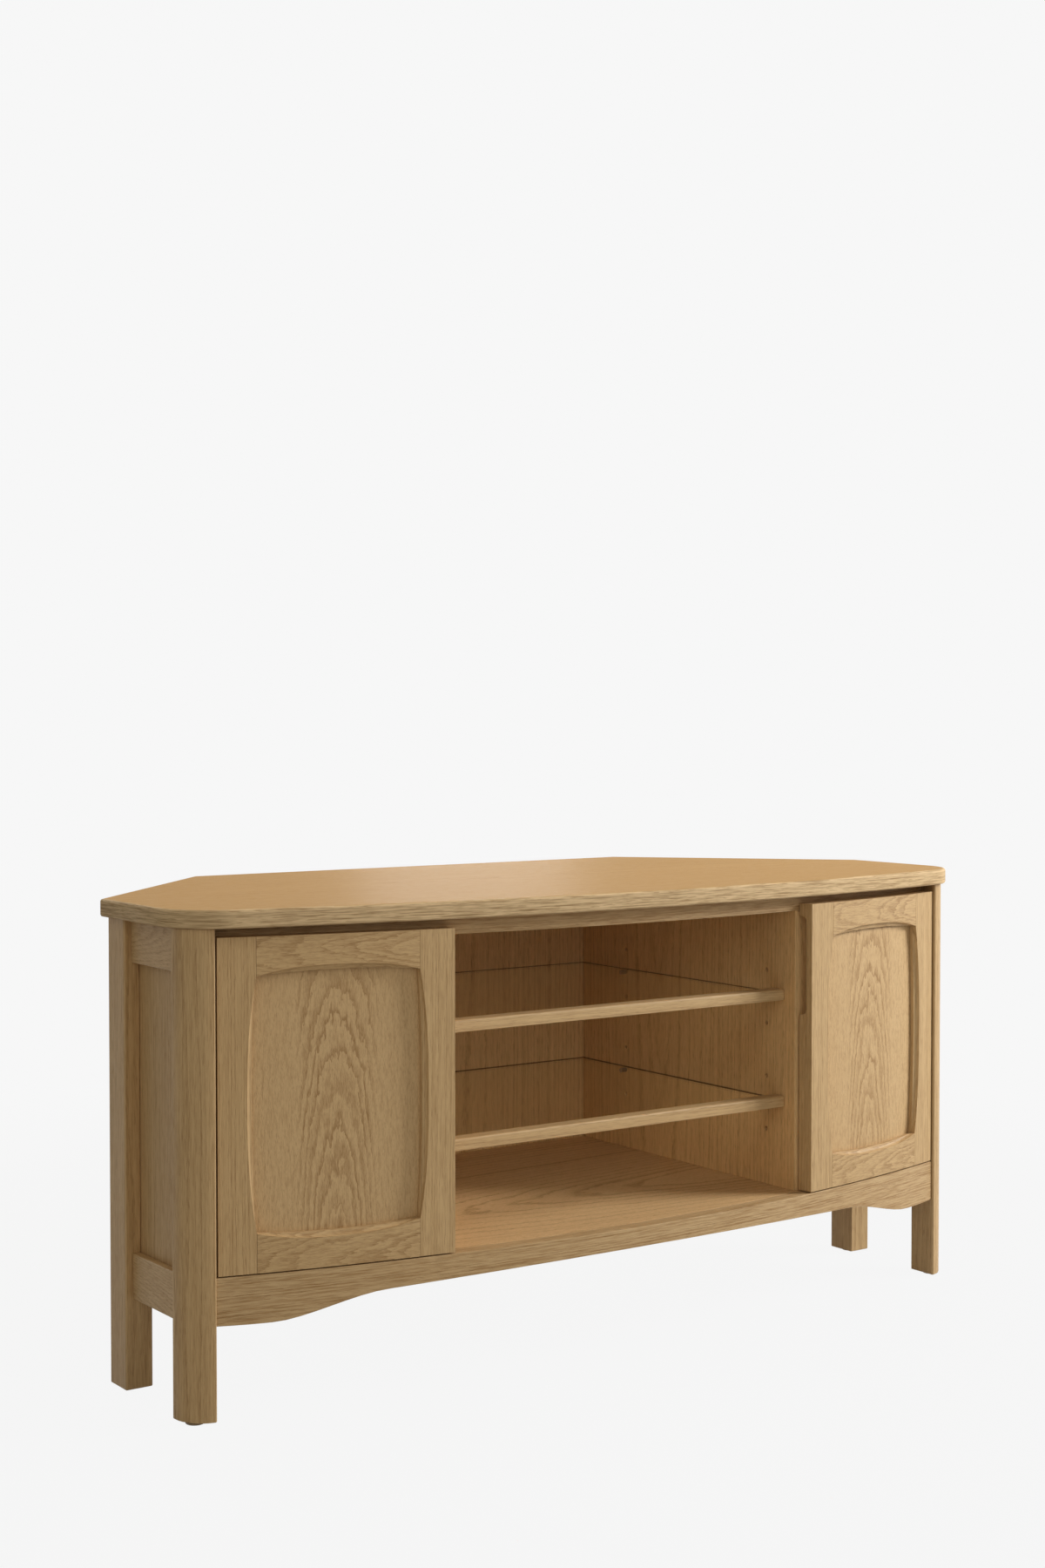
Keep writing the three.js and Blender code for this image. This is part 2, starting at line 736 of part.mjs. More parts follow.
// Finger pull routed out of the back corner of the free edge
function fingerPull() {
  const head = doorHead - pullFromDoorTop;
  const foot = head - pullLength;
  const floor = bowY(doorInnerX, doorThickness) - pullDepth;
  const mouth = floor + pullDepth + cutOverrun;
  const shape = new THREE.Shape();
  shape.moveTo(mouth, foot);
  shape.lineTo(mouth, head);
  shape.lineTo(floor + pullDepth, head);
  shape.quadraticCurveTo(floor, head, floor, head - pullRound);
  shape.lineTo(floor, foot + pullRound);
  shape.quadraticCurveTo(floor, foot, floor + pullDepth, foot);
  return runAlongX(shape, doorInnerX - cutOverrun, doorInnerX + pullReach);
}

const hingeHeights = [['upper', doorHead - hingeFromDoorEnd], ['lower', doorFoot + hingeFromDoorEnd]];

function stile(start, end) {
  return raise(doorBand(start, end, 0, doorThickness, easingSegments), doorFoot, doorHead);
}

function doorRail(foot, head) {
  return cut(raise(doorBand(openingStart + seatGap, openingEnd - seatGap, 0, doorThickness,
    doorBowSegments), foot, head), opening, panelGroove);
}
addPair('door_outer_stile', cut(stile(openingEnd, outerEnd), opening, panelGroove,
  ...hingeHeights.map(([, height]) => cupBore(height))), oakFinish);
addPair('door_inner_stile', cut(stile(innerStart, openingStart), opening, panelGroove, fingerPull()),
  oakFinish);
addPair('door_top_rail', doorRail(openingHead, doorHead), oakFinish);
addPair('door_bottom_rail', doorRail(doorFoot, openingFoot), oakFinish);
addPair('door_panel', common(
  raise(doorBand(innerStart, outerEnd, doorPanelFace, doorPanelFace + doorPanelThickness,
    doorBowSegments), doorFoot, doorHead),
  doorLayer(-cutOverrun, doorThickness + cutOverrun, doorGrooveDepth - seatGap)), oakFinish);

// Hinge: the cup pressed into the door, with its screw flange and folded levers
function hingeCup() {
  const rim = seatGap + flangeThickness;
  const profile = [[0, -cupDepth], [cupRadius, -cupDepth], [cupRadius, rim], [cupRadius - cupWall, rim],
    [cupRadius - cupWall, cupWall - cupDepth], [0, cupWall - cupDepth]]
    .map(([r, h]) => new THREE.Vector2(r, h));
  const cup = new THREE.LatheGeometry(profile, roundSegments);
  const lever = block(-leverWidth / 2, leverThickness - leverWidth / 2, cupWall / 2 - cupDepth, 0,
    -leverWidth / 2, leverWidth / 2);
  return join(cup, lever);
}

function hingeFlange() {
  const shape = roundedRectangle(flangeWidth, flangeHeight, flangeWidth / 2 - seatGap);
  const ear = raise(shape, 0, flangeThickness).rotateX(-Math.PI / 2).translate(0, seatGap, 0);
  const bore = new THREE.CylinderGeometry(cupRadius - cupWall / 2, cupRadius - cupWall / 2,
    flangeThickness + 2 * cutOverrun, roundSegments);
  return cut(ear, bore);
}

// Hinge: the arm with its plate, screwed to a batten that brings it level with the post
const battenEndY = frontPostRearY + seatGap + hingeBattenDepth;
const plateOuterX = postInnerX - seatGap;

function hingeArm(height) {
  const noseDepth = doorThickness + seatGap + flangeThickness + seatGap;
  const noseAlong = outerEnd - cupFromDoorEdge;
  const outerNose = onBow(noseAlong + noseInset, 0, noseDepth);
  const innerNose = onBow(noseAlong + noseInset - armThickness - cupWall, 0, noseDepth);
  const plateX = plateOuterX - plateThickness;
  const plateY = battenEndY - plateLength;
  const arm = new THREE.Shape();
  const armOuterX = plateX + plateThickness / 2;
  arm.moveTo(outerNose.x, outerNose.y);
  arm.quadraticCurveTo(outerNose.x, plateY - armCrank / 4, armOuterX, plateY + armCrank / 4);
  arm.lineTo(armOuterX, battenEndY - plateRound);
  arm.lineTo(plateX - armThickness, battenEndY - plateRound);
  arm.lineTo(plateX - armThickness, plateY + armCrank);
  arm.quadraticCurveTo(innerNose.x, plateY + armCrank / 2, innerNose.x, innerNose.y);
  const plate = roundedRectangle(plateLength, plateHeight, plateRound);
  return join(raise(arm, -armWidth / 2, armWidth / 2).translate(0, 0, height),
    runAlongX(plate, plateX, plateOuterX).translate(0, plateY + plateLength / 2, height));
}
addPair('hinge_batten', block(postInnerX, sideRailInnerX - seatGap, frontPostRearY + seatGap, battenEndY,
  floorHeight + seatGap, postTop), () => finish(oakDark, 0.65));
for (const [name, height] of hingeHeights) {
  addPair(`door_${name}_hinge_cup`, atCup(join(hingeCup(), hingeFlange()), height),
    () => finish(steel, 0.35, 1));
  addPair(`${name}_hinge_arm`, hingeArm(height), () => finish(steel, 0.35, 1));
}

// The cabinet stands with the middle of its outline over the origin
carcass.position.y = topFrontOverhang - overallDepth / 2;
const cabinet = new THREE.Group();
cabinet.add(carcass);

export default cabinet;
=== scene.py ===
import bmesh
import bpy
import json
import math
from mathutils import Matrix, Vector


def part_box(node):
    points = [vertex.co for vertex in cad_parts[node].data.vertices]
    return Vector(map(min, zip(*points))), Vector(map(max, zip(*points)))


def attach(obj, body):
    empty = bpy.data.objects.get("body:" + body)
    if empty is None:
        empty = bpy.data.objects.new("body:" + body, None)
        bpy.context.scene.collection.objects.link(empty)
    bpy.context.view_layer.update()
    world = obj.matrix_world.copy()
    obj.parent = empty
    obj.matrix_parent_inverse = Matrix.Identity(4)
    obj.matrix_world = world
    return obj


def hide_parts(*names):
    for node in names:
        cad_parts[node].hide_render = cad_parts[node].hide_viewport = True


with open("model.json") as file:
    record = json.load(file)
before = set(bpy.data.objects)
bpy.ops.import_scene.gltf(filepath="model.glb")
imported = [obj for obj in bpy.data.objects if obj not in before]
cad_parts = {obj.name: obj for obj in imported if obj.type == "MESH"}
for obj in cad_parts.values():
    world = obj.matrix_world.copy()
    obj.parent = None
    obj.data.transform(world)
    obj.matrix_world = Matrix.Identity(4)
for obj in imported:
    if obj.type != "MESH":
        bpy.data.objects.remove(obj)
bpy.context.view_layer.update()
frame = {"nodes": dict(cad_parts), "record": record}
nodes = frame["nodes"]
bodies = frame["record"]["behaviour"]["bodies"]
bodyOf = {node: body for body, members in bodies.items() for node in members}
scene = bpy.context.scene
print("frame loaded,", len(nodes), "nodes")


class Wire:  # one output socket, with arithmetic on its values
    def __init__(self, shader, socket):
        self.shader = shader
        self.socket = socket

    def math(self, operation, first, second=0.0):
        return self.shader.add("ShaderNodeMath", {"operation": operation}, {0: first, 1: second})

    def __add__(self, other):
        return self.math("ADD", self, other)

    def __radd__(self, other):
        return self.math("ADD", other, self)

    def __sub__(self, other):
        return self.math("SUBTRACT", self, other)

    def __rsub__(self, other):
        return self.math("SUBTRACT", other, self)

    def __mul__(self, other):
        return self.math("MULTIPLY", self, other)

    def __rmul__(self, other):
        return self.math("MULTIPLY", other, self)

    def __truediv__(self, other):
        return self.math("DIVIDE", self, other)

    def __rtruediv__(self, other):
        return self.math("DIVIDE", other, self)

    def __pow__(self, other):
        return self.math("POWER", self, other)

    def __rpow__(self, other):
        return self.math("POWER", other, self)

    def __abs__(self):
        return self.math("ABSOLUTE", self)

    def fraction(self):
        return self.math("FRACT", self)


class Shader:  # the nodes of one material, or of the world
    def __init__(self, owner):
        owner.use_nodes = True
        self.owner = owner
        self.tree = owner.node_tree
        self.tree.nodes.clear()

    def add(self, kind, settings=None, inputs=None, output=0):
        node = self.tree.nodes.new(kind)
        for key, value in (settings or {}).items():
            setattr(node, key, value)
        for key, value in (inputs or {}).items():
            if isinstance(value, Wire):
                self.tree.links.new(value.socket, node.inputs[key])
            else:
                node.inputs[key].default_value = value
        return Wire(self, node.outputs[output]) if len(node.outputs) else None

    def attribute(self, name, output):
        return self.add("ShaderNodeAttribute", {"attribute_name": name}, output=output)

    def noise(self, vector, stretch, detail, roughness):
        placed = self.add("ShaderNodeVectorMath", {"operation": "MULTIPLY"},
                          {0: vector, 1: stretch})
        return self.add("ShaderNodeTexNoise", {}, {
            "Vector": placed, "Scale": 1.0, "Detail": detail, "Roughness": roughness})

    def swing(self, vector, stretch, detail, roughness):  # noise to either side of zero
        return self.noise(vector, stretch, detail, roughness) - 0.5

    def stripes(self, value):
        return self.add("ShaderNodeTexNoise", {"noise_dimensions": "1D"}, {
            "W": value, "Scale": 1.0, "Detail": 1.0})

    def between(self, value, low, high):
        return self.add("ShaderNodeMapRange", {"interpolation_type": "SMOOTHSTEP"}, {
            "Value": value, "From Min": low, "From Max": high})

    def mixColour(self, factor, first, second):  # a Mix node's colour sockets go by number
        sockets = {0: factor, 6: first, 7: second}
        return self.add("ShaderNodeMix", {"data_type": "RGBA"}, sockets, output=2)

    def seenDirectly(self):  # rays from the camera, mirrored ones and those through glass
        rays = [self.add("ShaderNodeLightPath", output=name)
                for name in ("Is Camera Ray", "Is Glossy Ray", "Is Transmission Ray")]
        return 1 - (1 - rays[0]) * (1 - rays[1]) * (1 - rays[2])

    def finish(self, inputs):
        surface = self.add("ShaderNodeBsdfPrincipled", {}, inputs)
        self.add("ShaderNodeOutputMaterial", {}, {"Surface": surface})
        return self.owner


view = {"place": (-1.5153, -2.1433, 0.7137), "pitch": 0.0312, "yaw": 0.6133,
        "lens": 50.41, "sensor": 36.0}
cameraData = bpy.data.cameras.new("camera")
cameraData.sensor_fit = "VERTICAL"
cameraData.sensor_height = view["sensor"]
cameraData.lens = view["lens"]
camera = bpy.data.objects.new("camera", cameraData)
camera.location = view["place"]
camera.rotation_euler = (math.pi / 2 - view["pitch"], 0, -view["yaw"])
scene.collection.objects.link(camera)
scene.camera = camera
print("camera placed")


# marks in the wood: waves per metre along the grain, across it and into the board, then the
# noise's detail and roughness
marks = {
    "drift": ((1.9, 9.0, 9.0), 2.0, 0.5),
    "jag": ((85.0, 330.0, 330.0), 2.0, 0.6),
    "pore": ((75.0, 1250.0, 1250.0), 1.0, 0.5),
    "fibre": ((9.0, 420.0, 420.0), 3.0, 0.6),
    "streak": ((30.0, 560.0, 560.0), 2.0, 0.6),
    "broad": ((1.3, 8.0, 8.0), 2.0, 0.5),
    "dash": ((22.0, 620.0, 620.0), 2.0, 0.5),
}

# what all the oak shares: the rings and how they fade, the pores, the sheen and the relief
wood = {
    "gapWaves": 90.0, "fadeWaves": 170.0, "fade": (0.22, 0.62), "ringStart": 0.05,
    "flameSway": 0.04, "flameEdge": (0.8, 1.25),
    "poreCut": (0.50, 0.68), "latePores": 0.45, "broadFrom": 0.38,
    "poreRough": 0.18, "fibreRough": 0.10, "easedSmooth": 0.08,
    "fibreRise": 0.35, "poreDrop": 0.9, "ringDrop": 0.25, "relief": 0.35, "reliefDepth": 0.0004,
}


# rings round a pith line, cut by each board's own faces
def oak(name, tone):
    s = Shader(bpy.data.materials.new(name))
    grain = s.attribute("grain", "Vector")
    eased = s.attribute("eased", "Fac")
    across = s.add("ShaderNodeSeparateXYZ", {}, {0: grain}, output="Y")
    into = s.add("ShaderNodeSeparateXYZ", {}, {0: grain}, output="Z")

    drift = s.swing(grain, *marks["drift"])
    wave = s.swing(grain, *tone["waveMark"])
    jag = s.swing(grain, *marks["jag"])
    sideways = across + drift * tone["sway"]
    deep = into + drift * tone["sway"] + wave * tone["wave"] + jag * tone["jag"]
    reach = (sideways * sideways + deep * deep) ** 0.5
    turn = reach / tone["ringGap"] + s.stripes(reach * wood["gapWaves"]) * tone["uneven"]
    ring = turn.fraction()
    begun = s.between(ring, 0.0, wood["ringStart"])
    early = (1 - s.between(ring, wood["ringStart"], tone["earlyWidth"])) * begun
    early = early * s.between(s.stripes(reach * wood["fadeWaves"]), *wood["fade"])
    if "flameHalf" in tone:  # the figure stays in the middle, with plain grain beside it
        beside = abs(across + drift * wood["flameSway"])
        inner, outer = [tone["flameHalf"] * share for share in wood["flameEdge"]]
        early = early * (1 - s.between(beside, inner, outer) * tone["calm"])

    # open pores are short dark dashes, most of them in the early wood
    porous = wood["latePores"] + early * (1 - wood["latePores"])
    pores = s.between(s.noise(grain, *marks["pore"]), *wood["poreCut"]) * porous
    fibre = s.swing(grain, *marks["fibre"])
    streak = s.swing(grain, *marks["streak"])
    broad = s.noise(grain, *marks["broad"]) - wood["broadFrom"]

    lines = fibre * tone["fibreDepth"] + streak * tone["streakDepth"]
    figure = early * tone["ringDepth"] + lines + tone["base"]
    colour = s.mixColour(figure, tone["light"], tone["dark"])
    colour = s.mixColour(broad * tone["broadDepth"], colour, tone["warm"])
    colour = s.mixColour(pores * tone["poreDepth"], colour, tone["pore"])
    if "lip" in tone:  # the board's edge is plainer wood than its face
        dash = s.swing(grain, *marks["dash"]) * tone["dashDepth"]
        plainer = early * tone["lipDepth"] + lines * tone["lipLines"] + dash + tone["lipBase"]
        plainer = s.mixColour(plainer, tone["lip"], tone["lipDark"])
        plainer = s.mixColour(pores * tone["lipPores"], plainer, tone["pore"])
        colour = s.mixColour(s.attribute("lip", "Fac"), colour, plainer)
    colour = s.mixColour(eased * tone["wear"], colour, tone["worn"])

    roughness = tone["roughness"] + pores * wood["poreRough"] + fibre * wood["fibreRough"]
    roughness = roughness - eased * wood["easedSmooth"]
    height = fibre * wood["fibreRise"] - pores * wood["poreDrop"] - early * wood["ringDrop"]
    bump = s.add("ShaderNodeBump", {}, {
        "Strength": wood["relief"], "Distance": wood["reliefDepth"], "Height": height})
    return s.finish({"Base Color": colour, "Roughness": roughness, "Normal": bump,
                     "Specular IOR Level": tone["gloss"]})


# ring gaps and waves are in metres
oakTone = {
    "light": (0.570, 0.378, 0.184, 1), "dark": (0.330, 0.186, 0.072, 1),
    "warm": (0.500, 0.300, 0.125, 1), "pore": (0.250, 0.132, 0.047, 1),
    "worn": (0.620, 0.430, 0.230, 1), "wear": 0.2,
    "ringGap": 0.0027, "earlyWidth": 0.80, "uneven": 0.9, "sway": 0.010,
    "wave": 0.0022, "waveMark": ((14.0, 46.0, 46.0), 2.0, 0.55), "jag": 0.0016,
    "ringDepth": 0.34, "fibreDepth": 1.00, "streakDepth": 1.10, "base": 0.12,
    "broadDepth": 0.6, "poreDepth": 0.50, "roughness": 0.46, "gloss": 0.25,
}
frameOak = oak("frame_oak", oakTone)

apronTone = {
    **oakTone, "light": (0.550, 0.370, 0.188, 1), "ringGap": 0.0022, "jag": 0.0022,
    "ringDepth": 0.50, "fibreDepth": 1.7, "streakDepth": 2.6, "base": 0.20,
}
apronOak = oak("apron_oak", apronTone)

panelTone = {
    **oakTone, "light": (0.590, 0.392, 0.195, 1), "ringGap": 0.0060, "earlyWidth": 0.95,
    "wave": 0.012, "waveMark": ((22.0, 80.0, 80.0), 2.0, 0.55), "jag": 0.0045,
    "ringDepth": 0.76, "base": 0.06, "flameHalf": 0.040, "calm": 0.85,
}
panelOak = oak("panel_oak", panelTone)

railTone = {**oakTone, "ringGap": 0.0030, "wave": 0.009, "jag": 0.0035, "ringDepth": 0.56}
railOak = oak("rail_oak", railTone)

topTone = {
    **oakTone, "light": (0.510, 0.300, 0.113, 1), "dark": (0.400, 0.222, 0.078, 1),
    "warm": (0.490, 0.278, 0.103, 1), "ringDepth": 0.3, "fibreDepth": 0.5, "streakDepth": 0.4,
    "poreDepth": 0.12, "roughness": 0.42, "gloss": 0.008,
    "lip": (0.680, 0.485, 0.275, 1), "lipDark": (0.32, 0.20, 0.095, 1), "lipDepth": 0.12,
    "lipLines": 2.5, "lipPores": 0.6, "lipBase": 0.20, "dashDepth": 2.4,
}
topOak = oak("top_oak", topTone)

# inside the bays the oak is lighter and warmer than outside: painted bounce light, not the wood's
# own colour
insidePaintedBounceTone = {
    **oakTone, "light": (0.800, 0.515, 0.240, 1), "dark": (0.400, 0.230, 0.090, 1),
    "ringGap": 0.0064, "uneven": 1.6, "wave": 0.006, "jag": 0.0045, "ringDepth": 0.27,
    "fibreDepth": 0.45, "streakDepth": 0.65, "broadDepth": 0.35, "roughness": 0.52,
}
insidePaintedBounceOak = oak("inside_oak_painted_bounce", insidePaintedBounceTone)

# the bay's floor is lighter than the outside oak as well: painted bounce light
bayFloorPaintedBounceTone = {
    **insidePaintedBounceTone, "light": (0.690, 0.442, 0.212, 1), "ringGap": 0.0120, "earlyWidth": 0.45,
    "uneven": 0.9, "sway": 0.024, "wave": 0.014, "jag": 0.0050, "ringDepth": 0.62,
}
bayFloorPaintedBounceOak = oak("bay_floor_oak_painted_bounce", bayFloorPaintedBounceTone)
print("oak materials made")


faceRadius = 1.895  # bow of the door faces
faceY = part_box("front_apron")[0].y


def alongBow(p):
    return faceRadius * math.atan2(p.x, faceRadius - (p.y - faceY))


def behindBow(p):
    return faceRadius - math.hypot(p.x, faceRadius - (p.y - faceY))


# along the grain, across it and into the board
directions = {
    "upright": lambda p: (p.z, p.x, p.y),
    "uprightSide": lambda p: (p.z, p.y, p.x),
    "level": lambda p: (p.x, p.z, p.y),
    "levelSide": lambda p: (p.y, p.z, p.x),
    "flat": lambda p: (p.x, p.y, p.z),
    "bowUpright": lambda p: (p.z, alongBow(p), behindBow(p)),
    "bowLevel": lambda p: (alongBow(p), p.z, behindBow(p)),
}


# each corner's place in the log that the board is sawn from
def writeGrain(mesh, look):
    places = [Vector(directions[look["grain"]](v.co)) for v in mesh.vertices]
    low = Vector([min(p[i] for p in places) for i in range(3)])
    high = Vector([max(p[i] for p in places) for i in range(3)])
    middle = (low + high) / 2
    pithAcross, pithDeep = look["pith"]
    attribute = mesh.attributes.new("grain", "FLOAT_VECTOR", "CORNER")
    for loop in mesh.loops:
        p = places[loop.vertex_index] - middle
        attribute.data[loop.index].vector = (
            p.x + look["shift"], p.y - pithAcross, p.z - pithDeep + look["tilt"] * p.x)


# how far round an outline the point nearest to a place lies, and the length of the outline
def reachRound(ring, place):
    best, found, run = math.inf, 0.0, 0.0
    for before, after in zip(ring, ring[1:] + ring[:1]):
        step = (after - before).xy
        share = min(max((place - before).xy.dot(step) / step.length_squared, 0.0), 1.0)
        away = ((place - before).xy - step * share).length
        if away < best:
            best, found = away, run + step.length * share
        run += step.length
    return found, run


# the grain of the top board's edge runs round it, starting from a back corner
def writeLip(mesh, look):
    face = max(mesh.polygons, key=lambda f: f.area * f.normal.z)
    ring = [mesh.vertices[i].co for i in face.vertices]
    start = max(range(len(ring)), key=lambda i: ring[i].y)
    ring = ring[start:] + ring[:start]
    around = [reachRound(ring, v.co)[0] for v in mesh.vertices]
    whole = reachRound(ring, ring[0])[1]
    lip = mesh.attributes.new("lip", "FLOAT", "FACE")
    grain = mesh.attributes["grain"]
    for polygon in mesh.polygons:
        if abs(polygon.normal.z) > look["lip"]:
            continue
        lip.data[polygon.index].value = 1.0
        farthest = max(around[i] for i in polygon.vertices)
        for loopIndex in polygon.loop_indices:
            corner = mesh.loops[loopIndex].vertex_index
            along = around[corner] + look["shift"]
            if farthest - around[corner] > whole / 2:  # the face that closes the ring
                along += whole
            across = mesh.vertices[corner].co.z - ring[0].z - look["lipPith"]
            grain.data[loopIndex].vector = (along, across, look["lipPith"])


# the ground edges of a glass shelf, painted nearly black to stand in for the dark line their
# refraction shows
def markPaintedDarkRim(mesh, steepest):
    rim = mesh.attributes.new("rim", "FLOAT", "FACE")
    for polygon in mesh.polygons:
        rim.data[polygon.index].value = 1.0 if abs(polygon.normal.z) < steepest else 0.0


# angles in degrees: faces that differ by less than flat are joined, and shading breaks past crease
cleaning = {"merge": 0.00001, "flat": 0.4, "crease": 33}


def finishPiece(node, look, material):
    bm = bmesh.new()
    bm.from_mesh(nodes[node].data)
    bmesh.ops.remove_doubles(bm, verts=bm.verts, dist=cleaning["merge"])
    bmesh.ops.dissolve_limit(bm, angle_limit=math.radians(cleaning["flat"]),
                             verts=bm.verts, edges=bm.edges)
    easedLayer = bm.faces.layers.float.new("eased")
    if look["edge"]:
        steep = math.radians(look["sharp"])
        sharp = [e for e in bm.edges if e.is_manifold and e.calc_face_angle() > steep]
        made = bmesh.ops.bevel(bm, geom=sharp, offset=look["edge"], offset_type="OFFSET",
                               segments=look["steps"], affect="EDGES", profile=0.5,
                               material=-1, clamp_overlap=True)
        for face in made["faces"]:
            face[easedLayer] = 1.0
    mesh = bpy.data.meshes.new("finished_" + node)
    bm.to_mesh(mesh)
    bm.free()
    mesh.shade_smooth()
    mesh.set_sharp_from_angle(angle=math.radians(cleaning["crease"]))
    writeGrain(mesh, look)
    if "lip" in look:
        writeLip(mesh, look)
    if "rim" in look:
        markPaintedDarkRim(mesh, look["rim"])
    mesh.materials.append(material)
    piece = bpy.data.objects.new("finished_" + node, mesh)
    scene.collection.objects.link(piece)
    normals = piece.modifiers.new("normals", "WEIGHTED_NORMAL")
    normals.keep_sharp = True
    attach(piece, bodyOf[node])
    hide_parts(node)


def bothSides(name, look, material):
    finishPiece("left_" + name, look, material)
    finishPiece("right_" + name, {**look, "shift": look["shift"] + look["apart"]}, material)


# edge is the eased arris and sharp the least angle, in degrees, that gets one. The pith is placed
# from the board's middle, across it and into it, and tilt is its slope. Shift says where along the
# log the board lies, and apart how much further on its twin is
board = {"edge": 0.0007, "steps": 2, "sharp": 40, "grain": "upright", "pith": (0.16, 0.05),
         "tilt": 0.01, "shift": 0.0, "apart": 0.37}

postLook = {**board, "edge": 0.0013, "shift": 0.3, "pith": (0.09, 0.03)}
sidePostLook = {**postLook, "grain": "uprightSide", "shift": 1.2, "pith": (0.12, 0.02)}
bothSides("front_post", postLook, frameOak)
bothSides("side_post", sidePostLook, frameOak)
bothSides("back_post", {**postLook, "shift": 2.1}, frameOak)

railLook = {**board, "grain": "levelSide", "edge": 0.0014, "pith": (0.02, 0.03),
            "shift": 3.0, "tilt": 0.12}
bothSides("side_top_rail", railLook, frameOak)
bothSides("side_bottom_rail", {**railLook, "shift": 3.4, "pith": (-0.04, 0.03)}, frameOak)
sidePanelLook = {**board, "grain": "uprightSide", "shift": 4.0, "pith": (0.10, 0.04)}
bothSides("side_panel", sidePanelLook, frameOak)

apronLook = {**board, "grain": "bowLevel", "edge": 0.0012, "pith": (-0.06, 0.05), "shift": 5.0}
finishPiece("front_apron", apronLook, apronOak)
finishPiece("front_top_rail", {**apronLook, "shift": 6.2, "edge": 0.0006}, apronOak)

lipLook = {**board, "grain": "level", "edge": 0.0008, "pith": (0.05, 0.06), "shift": 7.0}
finishPiece("upper_shelf_lip", lipLook, frameOak)
finishPiece("lower_shelf_lip", {**lipLook, "shift": 8.3}, frameOak)

insideLook = {**board, "grain": "uprightSide", "edge": 0.0005, "pith": (0.05, 0.06),
              "tilt": 0.03, "shift": 9.0}
bothSides("partition", insideLook, insidePaintedBounceOak)
bothSides("hinge_batten", {**insideLook, "shift": 9.7}, insidePaintedBounceOak)
floorLook = {**board, "grain": "flat", "edge": 0.0005, "pith": (-0.07, 0.07),
             "tilt": 0.16, "shift": 10.0}
finishPiece("floor_panel", floorLook, bayFloorPaintedBounceOak)
backLook = {**board, "edge": 0.0003, "pith": (0.03, 0.07), "tilt": 0.02, "shift": 11.0}
finishPiece("centre_back_panel", backLook, insidePaintedBounceOak)
bothSides("back_panel", {**backLook, "shift": 12.0}, insidePaintedBounceOak)

# a face belongs to the lip when its normal rises less than lip
topLook = {**board, "grain": "flat", "edge": 0, "pith": (0.02, 0.10), "tilt": 0.02,
           "shift": 13.0, "lip": 0.99, "lipPith": 0.05}
finishPiece("top_board", topLook, topOak)

stileLook = {**board, "grain": "bowUpright", "edge": 0.0009, "pith": (0.07, 0.04), "shift": 14.0}
bothSides("door_outer_stile", stileLook, frameOak)
bothSides("door_inner_stile", {**stileLook, "shift": 15.0, "pith": (-0.08, 0.04)}, frameOak)
doorRailLook = {**stileLook, "grain": "bowLevel", "pith": (0.005, 0.02), "tilt": 0.10,
                "shift": 16.0}
bothSides("door_top_rail", doorRailLook, railOak)
bothSides("door_bottom_rail", {**doorRailLook, "shift": 17.0, "pith": (-0.012, 0.02)}, railOak)
panelLook = {**board, "grain": "bowUpright", "edge": 0, "pith": (0.0, -0.035), "tilt": 0.16,
             "shift": 18.0}
bothSides("door_panel", panelLook, panelOak)
print("oak pieces finished")


fineNoise = {"detail": 3.0, "roughness": 0.6}  # on steel, plastic and glass


def plain(name, look):
    s = Shader(bpy.data.materials.new(name))
    place = s.add("ShaderNodeTexCoord", output="Object")
    speckle = s.noise(place, (look["grit"],) * 3, **fineNoise)
    roughness = look["roughness"] + (speckle - 0.5) * look["variation"]
    colour = s.mixColour(speckle, look["colour"], look["second"])
    return s.finish({"Base Color": colour, "Roughness": roughness, "Metallic": look["metal"]})


hingeSteel = plain("hinge_steel", {
    "colour": (0.55, 0.55, 0.54, 1), "second": (0.68, 0.67, 0.65, 1),
    "grit": 900.0, "roughness": 0.30, "variation": 0.2, "metal": 1.0})
pinSteel = plain("pin_steel", {
    "colour": (0.30, 0.24, 0.18, 1), "second": (0.38, 0.31, 0.24, 1),
    "grit": 700.0, "roughness": 0.38, "variation": 0.15, "metal": 1.0})
glidePlastic = plain("glide_plastic", {
    "colour": (0.200, 0.135, 0.075, 1), "second": (0.260, 0.180, 0.105, 1),
    "grit": 1200.0, "roughness": 0.55, "variation": 0.2, "metal": 0.0})


def glass(name, look):
    s = Shader(bpy.data.materials.new(name))
    place = s.add("ShaderNodeTexCoord", output="Object")
    smear = s.noise(place, look["smearWaves"], **fineNoise)
    # edge faces take the near-black rim colour: a painted dark line where the glass edge shows dark
    colour = s.mixColour(s.attribute("rim", "Fac"), look["tint"], look["rim"])
    surface = s.add("ShaderNodeBsdfPrincipled", {}, {
        "Base Color": colour, "Roughness": look["roughness"] + smear * look["smear"],
        "Transmission Weight": 1.0, "IOR": look["bend"],
        "Coat Weight": look["shine"], "Coat Roughness": look["shineRough"]})
    shade = s.add("ShaderNodeLightPath", output="Is Shadow Ray")
    through = s.add("ShaderNodeBsdfTransparent", {}, {"Color": look["tint"]})
    mixed = s.add("ShaderNodeMixShader", {}, {0: shade, 1: surface, 2: through})
    s.add("ShaderNodeOutputMaterial", {}, {"Surface": mixed})
    return s.owner


# the rim colour is a painted dark edge line, not the glass's own colour
shelfGlass = glass("shelf_glass", {
    "tint": (0.98, 0.975, 0.95, 1), "rim": (0.05, 0.035, 0.02, 1), "bend": 1.04,
    "shine": 0.25, "shineRough": 0.02, "roughness": 0.0, "smear": 0.01,
    "smearWaves": (3.0, 5.0, 3.0)})

